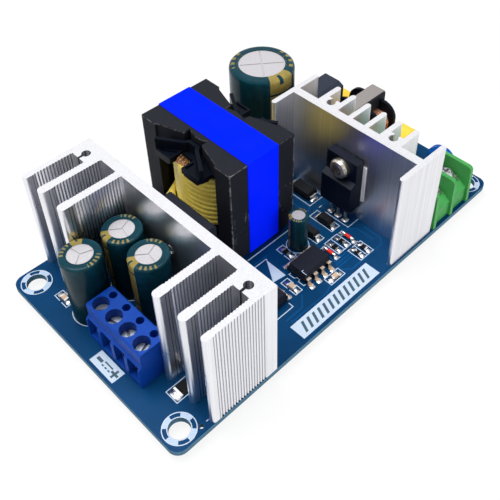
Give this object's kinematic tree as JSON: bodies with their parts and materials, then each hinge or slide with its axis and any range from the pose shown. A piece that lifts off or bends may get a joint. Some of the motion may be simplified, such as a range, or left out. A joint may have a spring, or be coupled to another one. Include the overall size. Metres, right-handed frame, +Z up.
{
  "type": "open frame power supply",
  "caption": "Open frame switching power supply: a circuit board with two extruded heat sinks, a transformer, capacitors, a line filter and screw terminals.",
  "frame": {"origin": "middle of the board outline, on the plane that the four heat sink screw heads stand on", "axes": "+X along the board from the low voltage output end to the mains end, +Y across the board away from its front long edge, +Z up from the board"},
  "size_m": [0.116, 0.065, 0.0363],
  "materials": {
    "bridge_rectifier_body": "moulded",
    "bridge_rectifier_leads": "tinned",
    "bulk_capacitor_can": "satin",
    "bulk_capacitor_leads": "tinned",
    "bulk_capacitor_sleeve": "shrunk sleeve",
    "chip_capacitors": "ceramic",
    "chip_resistors": "glazed",
    "circuit_board": "blue solder mask",
    "controller_body": "moulded",
    "controller_leads": "tinned",
    "film_capacitor_1": "moulded box",
    "film_capacitor_2": "moulded box",
    "fuse": "moulded",
    "glass_diodes": "glass",
    "heatsink_screws": "zinc plated",
    "input_heatsink": "extruded, plain",
    "input_terminal_contacts": "tinned",
    "input_terminal_housing": "moulded",
    "input_terminal_screws": "zinc plated",
    "line_choke_bobbin": "moulded",
    "line_choke_core": "ferrite",
    "line_choke_pins": "tinned",
    "line_choke_strap": "spring steel",
    "line_choke_windings": "enamelled copper",
    "moulded_diodes": "moulded",
    "optical_coupler_body": "moulded",
    "optical_coupler_leads": "tinned",
    "output_capacitor_1_can": "satin",
    "output_capacitor_1_leads": "tinned",
    "output_capacitor_1_sleeve": "shrunk sleeve",
    "output_capacitor_2_can": "satin",
    "output_capacitor_2_leads": "tinned",
    "output_capacitor_2_sleeve": "shrunk sleeve",
    "output_capacitor_3_can": "satin",
    "output_capacitor_3_leads": "tinned",
    "output_capacitor_3_sleeve": "shrunk sleeve",
    "output_heatsink": "extruded, plain",
    "output_rectifier_body": "moulded",
    "output_rectifier_leads": "tinned",
    "output_rectifier_pad": "insulating pad",
    "output_rectifier_screw": "zinc plated",
    "output_terminal_cages": "plated",
    "output_terminal_housing": "moulded",
    "output_terminal_pins": "tinned",
    "output_terminal_screws": "zinc plated",
    "safety_capacitor": "dipped",
    "small_capacitor_can": "satin",
    "small_capacitor_leads": "tinned",
    "small_capacitor_sleeve": "shrunk sleeve",
    "switch_transistor_body": "moulded",
    "switch_transistor_leads": "tinned",
    "switch_transistor_pad": "insulating pad",
    "switch_transistor_screw": "zinc plated",
    "thermistor": "dipped",
    "transformer_bobbin": "moulded",
    "transformer_core_lower": "ground ferrite",
    "transformer_core_upper": "ground ferrite",
    "transformer_pins": "tinned",
    "transformer_tape": "polyester tape",
    "transformer_winding": "yellow insulated wire"
  },
  "bodies": {
    "root": {"bridge_rectifier_body": "bridge_rectifier_body", "bridge_rectifier_leads": "bridge_rectifier_leads", "bulk_capacitor_can": "bulk_capacitor_can", "bulk_capacitor_leads": "bulk_capacitor_leads", "bulk_capacitor_sleeve": "bulk_capacitor_sleeve", "chip_capacitors": "chip_capacitors", "chip_resistors": "chip_resistors", "circuit_board": "circuit_board", "controller_body": "controller_body", "controller_leads": "controller_leads", "film_capacitor_1": "film_capacitor_1", "film_capacitor_2": "film_capacitor_2", "fuse": "fuse", "glass_diodes": "glass_diodes", "heatsink_screws": "heatsink_screws", "input_heatsink": "input_heatsink", "input_terminal_contacts": "input_terminal_contacts", "input_terminal_housing": "input_terminal_housing", "input_terminal_screws": "input_terminal_screws", "line_choke_bobbin": "line_choke_bobbin", "line_choke_core": "line_choke_core", "line_choke_pins": "line_choke_pins", "line_choke_strap": "line_choke_strap", "line_choke_windings": "line_choke_windings", "moulded_diodes": "moulded_diodes", "optical_coupler_body": "optical_coupler_body", "optical_coupler_leads": "optical_coupler_leads", "output_capacitor_1_can": "output_capacitor_1_can", "output_capacitor_1_leads": "output_capacitor_1_leads", "output_capacitor_1_sleeve": "output_capacitor_1_sleeve", "output_capacitor_2_can": "output_capacitor_2_can", "output_capacitor_2_leads": "output_capacitor_2_leads", "output_capacitor_2_sleeve": "output_capacitor_2_sleeve", "output_capacitor_3_can": "output_capacitor_3_can", "output_capacitor_3_leads": "output_capacitor_3_leads", "output_capacitor_3_sleeve": "output_capacitor_3_sleeve", "output_heatsink": "output_heatsink", "output_rectifier_body": "output_rectifier_body", "output_rectifier_leads": "output_rectifier_leads", "output_rectifier_pad": "output_rectifier_pad", "output_rectifier_screw": "output_rectifier_screw", "output_terminal_cages": "output_terminal_cages", "output_terminal_housing": "output_terminal_housing", "output_terminal_pins": "output_terminal_pins", "output_terminal_screws": "output_terminal_screws", "safety_capacitor": "safety_capacitor", "small_capacitor_can": "small_capacitor_can", "small_capacitor_leads": "small_capacitor_leads", "small_capacitor_sleeve": "small_capacitor_sleeve", "switch_transistor_body": "switch_transistor_body", "switch_transistor_leads": "switch_transistor_leads", "switch_transistor_pad": "switch_transistor_pad", "switch_transistor_screw": "switch_transistor_screw", "thermistor": "thermistor", "transformer_bobbin": "transformer_bobbin", "transformer_core_lower": "transformer_core_lower", "transformer_core_upper": "transformer_core_upper", "transformer_pins": "transformer_pins", "transformer_tape": "transformer_tape", "transformer_winding": "transformer_winding"}
  },
  "joints": []
}
